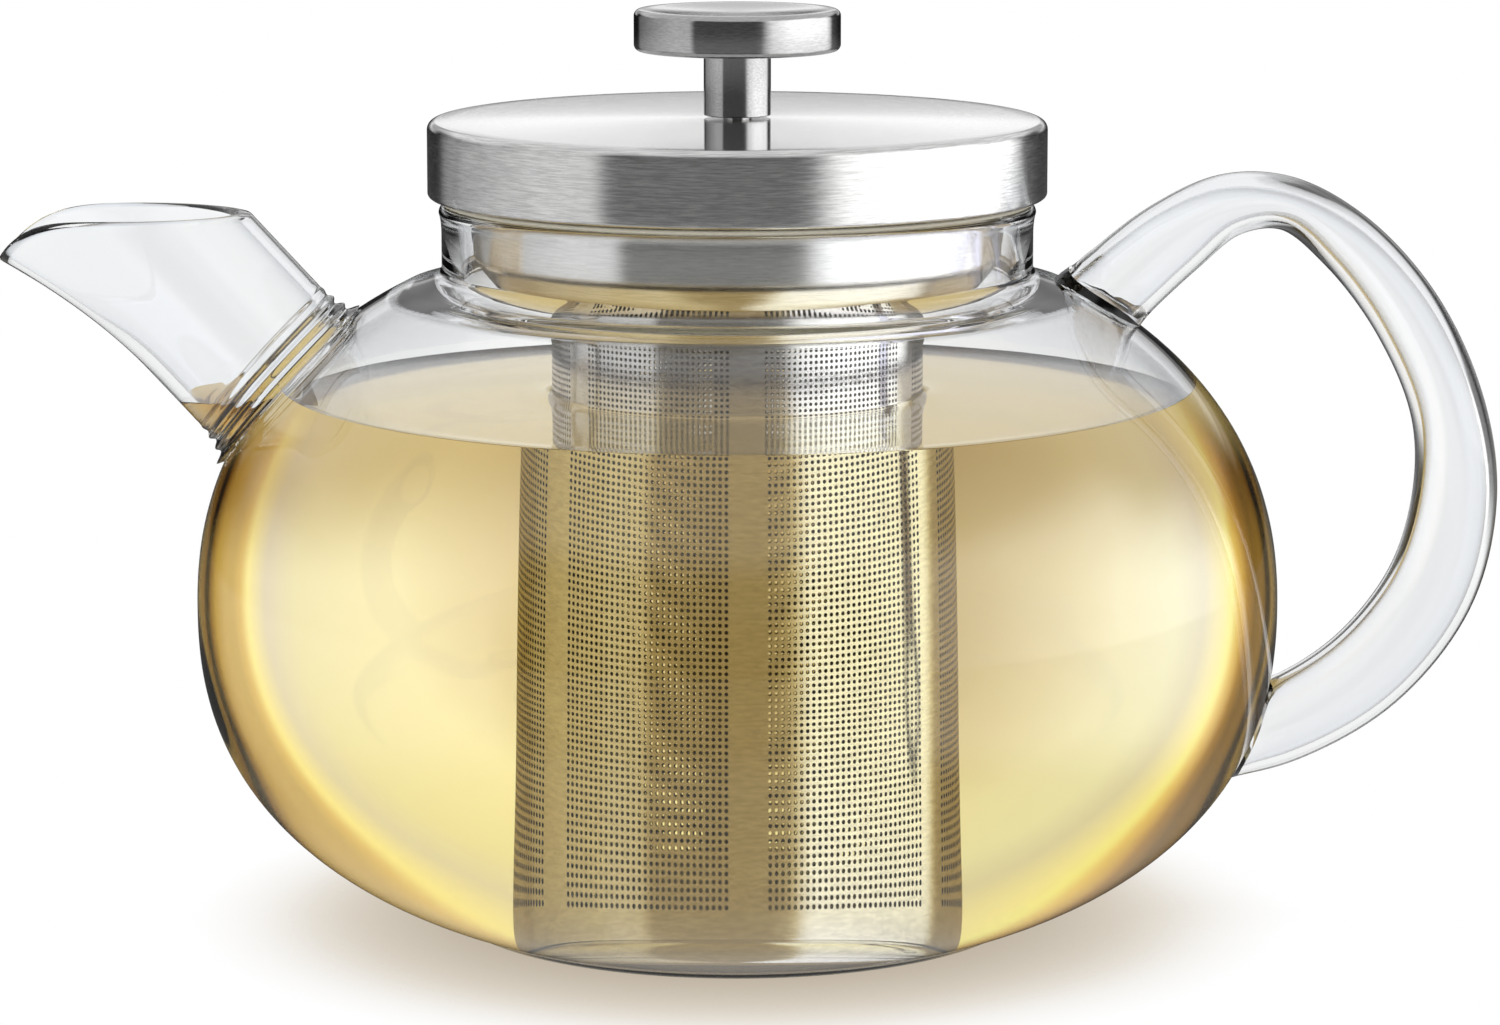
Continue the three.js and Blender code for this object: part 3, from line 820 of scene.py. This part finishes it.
def studio():
    """White round the object, with what glass, tea and steel see of the room set apart."""
    world = bpy.data.worlds.new("studio")
    bpy.context.scene.world = world
    world.cycles.sampling_method = "NONE"
    world.use_nodes = True
    tree = world.node_tree
    tree.nodes.clear()
    direction = node(tree, "TexCoord").outputs["Generated"]
    x, y, z = node(tree, "SeparateXYZ", {0: direction}).outputs
    back = node(tree, "Math", {0: y, 1: -1.0}, operation="MULTIPLY").outputs[0]
    around = node(tree, "Math", {0: x, 1: back}, operation="ARCTAN2").outputs[0]
    azimuth = node(tree, "MapRange", {"Value": around, "From Min": -math.pi, "From Max": math.pi}).outputs[0]
    ahead, upward = (
        node(tree, "VectorMath", {0: direction, 1: axis}, operation="DOT_PRODUCT").outputs["Value"]
        for axis in ((0.0, 0.985, -0.173), (0.0, 0.149, 0.847))
    )
    sideways = node(tree, "CombineXYZ", {"X": x, "Y": upward}).outputs[0]
    across = node(tree, "VectorMath", {0: sideways}, operation="LENGTH")
    turn = node(tree, "Math", {0: across.outputs["Value"], 1: ahead}, operation="ARCTAN2").outputs[0]
    angle = node(tree, "MapRange", {"Value": turn, "From Min": 0.0, "From Max": math.pi / 2}).outputs[0]
    path = node(tree, "LightPath").outputs
    crossed = path["Transmission Depth"]
    mirrored = node(tree, "Math", {0: path["Glossy Depth"], 1: 0.5}, operation="GREATER_THAN").outputs[0]
    is_glass = node(tree, "Math", {0: crossed, 1: 2.0, 2: 1.5}, operation="COMPARE").outputs[0]
    is_tea = node(tree, "Math", {0: crossed, 1: TEA_CROSSINGS}, operation="GREATER_THAN").outputs[0]
    is_deep = node(tree, "Math", {0: crossed, 1: DEEP_CROSSINGS}, operation="GREATER_THAN").outputs[0]
    around = room_around(tree, azimuth)
    room = whole_room(tree, around, x, y, z)
    level = node(tree, "Math", {0: z}, operation="ABSOLUTE").outputs[0]
    within_glass = mix(tree, spread(tree, level, 0.12, 0.3), room, (0.95, 0.95, 0.95, 1))
    room = mix(tree, is_glass, room, within_glass)
    has_crossed = node(tree, "Math", {0: crossed, 1: ANY_CROSSING}, operation="GREATER_THAN").outputs[0]
    away = product(tree, has_crossed, spread(tree, y, 0.2, 0.6))
    away = product(tree, away, spread(tree, z, 0.05, 0.15))
    room = mix(tree, away, room, (0.9, 0.91, 0.93, 1))
    room = mix(tree, is_tea, room, warmed(tree, around))
    room = mix(tree, is_deep, room, (0.12, 0.07, 0.02, 1))
    through = mix(tree, is_tea, seen_through_glass(tree, angle), seen_through_tea(tree, x, z, angle))
    light = mix(tree, mirrored, through, room)
    scattered = node(tree, "Math", {0: path["Diffuse Depth"], 1: 0.5}, operation="GREATER_THAN").outputs[0]
    light = mix(tree, scattered, light, WHITE)
    light = mix(tree, path["Is Camera Ray"], light, WHITE)
    node(tree, "OutputWorld", {"Surface": node(tree, "Background", {"Color": light}).outputs[0]})


def floor_material():
    """White, with a short warm shadow where something is close above it."""
    made, tree = material("pale_floor")
    clear = node(tree, "AmbientOcclusion", {"Distance": 0.026}, samples=16).outputs["AO"]
    stops = [(0.0, (0.5, 0.43, 0.34)), (0.3, (0.72, 0.66, 0.57)), (0.55, (0.92, 0.9, 0.87)), (0.8, 1.0)]
    colour = ramp(tree, clear, stops)
    finish_material(tree, node(tree, "Emission", {"Color": colour}))
    return made


def stage_floor():
    steps = 48
    angles = [2 * math.pi * k / steps for k in range(steps)]
    edge = [(3000 * math.cos(a), 3000 * math.sin(a), -0.05) for a in angles]
    floor = mesh_object("studio_floor", edge, [tuple(range(steps))])
    floor.data.materials.append(floor_material())
    for kind in ("diffuse", "glossy", "transmission", "volume_scatter", "shadow"):
        setattr(floor, "visible_" + kind, False)


def camera():
    data = bpy.data.cameras.new("camera")
    data.lens = CAMERA_LENS
    data.sensor_width = CAMERA_SENSOR
    data.sensor_fit = "HORIZONTAL"
    made = bpy.data.objects.new("camera", data)
    bpy.context.scene.collection.objects.link(made)
    made.location = CAMERA_PLACE
    made.rotation_euler = (math.radians(90 - CAMERA_PITCH), 0, 0)
    bpy.context.scene.camera = made


def place(piece, body, slot, surface, *nodes):
    piece.data.materials.clear()
    piece.data.materials.append(surface)
    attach(piece, body)
    if nodes:
        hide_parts(*nodes)
    return piece


# ---- Everything together ----

camera()
studio()
stage_floor()

glass_finish = clear_glass()
seal_finish = silicone()
lid_steel = brushed_steel("brushed_steel_lid", (0.74, 0.74, 0.735), 0.22, 0.1, 0.9, 1.1, 0.2)
wall_steel = brushed_steel("brushed_steel_wall", (0.9, 0.9, 0.895), 0.2, 0.2, 0.85, 1.1, 0.1)
knob_steel = brushed_steel("turned_steel_knob", (0.49, 0.49, 0.49), 0.12, 0.12, 0.7, 1.1, 0.12)
sheet_steel = brushed_steel("satin_steel_sheet", (0.76, 0.755, 0.745), 0.14, 0.14, 0.5, 0.5, 0.08)
# The basket's steel takes a painted shade on the inner side of its sheet.
basket_steel = brushed_steel(
    "satin_steel_basket", (0.8, 0.795, 0.785), 0.13, 0.13, 0.5, 0.5, 0.08, BASKET_RADIUS - 0.2)

place(fused_glass(), "pot", "clear_glass", glass_finish, "glass_body", "glass_spout", "spout_weld_ring",
      "glass_handle", "handle_upper_weld", "handle_lower_weld")
place(tea_body(), "pot", "clear_glass", tea_liquid("tea_liquid", TEA_TINT, TEA_DENSITY))
# The spout's tea takes the darker copy of the tea, as painted shade.
place(spout_tea(), "pot", "clear_glass", tea_liquid("tea_in_the_spout_painted_shade", ROOT_TEA_SHADE_TINT, ROOT_TEA_SHADE_DENSITY))
place(neck_seal(), "neck_ring", "pale_silicone", seal_finish, "neck_seal")
place(infuser_collar(), "infuser", "brushed_steel", wall_steel, "infuser_collar")
place(infuser_bottom(), "infuser", "satin_steel", sheet_steel, "infuser_bottom")
for index in range(BARS):
    sector = place(basket_sector(index), "infuser", "satin_steel", basket_steel)
    if index == 0:
        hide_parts("infuser_basket")
place(lid_seal(), "lid_ring", "pale_silicone", seal_finish, "lid_seal")
place(lid_liner(), "lid", "satin_steel", sheet_steel, "lid_liner")
place(knob_piece(), "lid", "brushed_steel", knob_steel, "knob")
place(lid_cap(), "lid", "brushed_steel", lid_steel, "lid_cap")
for name in ("knob_screw", "screw_washer"):
    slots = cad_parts[name].data.materials
    slots.clear()
    slots.append(sheet_steel)

view = bpy.context.scene.view_settings
view.view_transform = "Standard"
view.look = "None"
cycles = bpy.context.scene.cycles
cycles.max_bounces = 24
cycles.transmission_bounces = 24
cycles.glossy_bounces = 8
